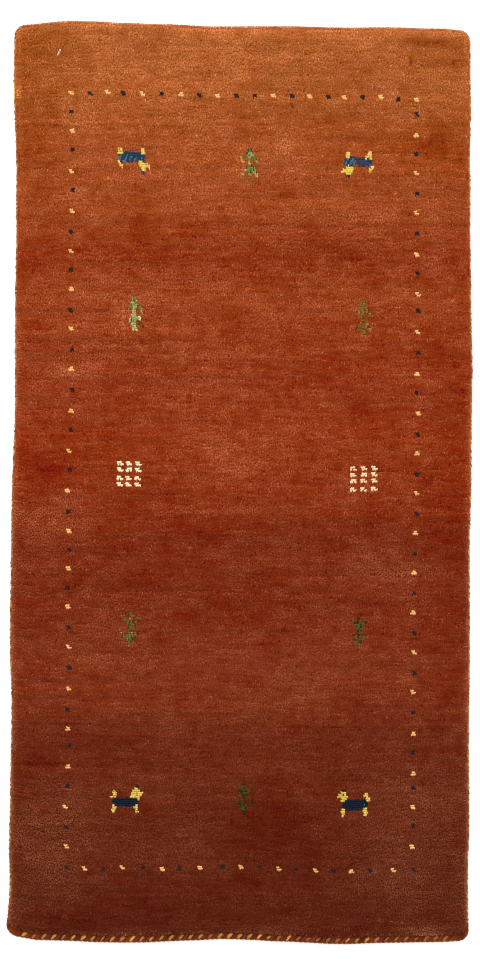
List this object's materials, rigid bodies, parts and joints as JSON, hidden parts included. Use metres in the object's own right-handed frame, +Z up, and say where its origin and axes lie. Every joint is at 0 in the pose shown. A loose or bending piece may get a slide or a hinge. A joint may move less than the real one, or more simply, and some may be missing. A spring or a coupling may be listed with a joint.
{
  "type": "wool rug",
  "caption": "Flat hand-knotted wool pile rug, twice as long as wide, with overcast side cords and a whipped band along one end.",
  "frame": {"origin": "centre of the rug's plan, on the floor", "axes": "+Z up out of the pile, +Y along the rug towards the end without a band, +X across the rug"},
  "size_m": [0.7136, 1.4127, 0.0146],
  "materials": {
    "pile_wool": "short wool pile, matt with a soft sheen",
    "side_cord_wool": "overcast wool yarn, matt",
    "end_band_wool": "whipped wool yarn in two colours, matt"
  },
  "bodies": {
    "root": {"pile_field": "pile_wool", "side_cord_left": "side_cord_wool", "side_cord_right": "side_cord_wool", "end_band": "end_band_wool"}
  },
  "joints": []
}
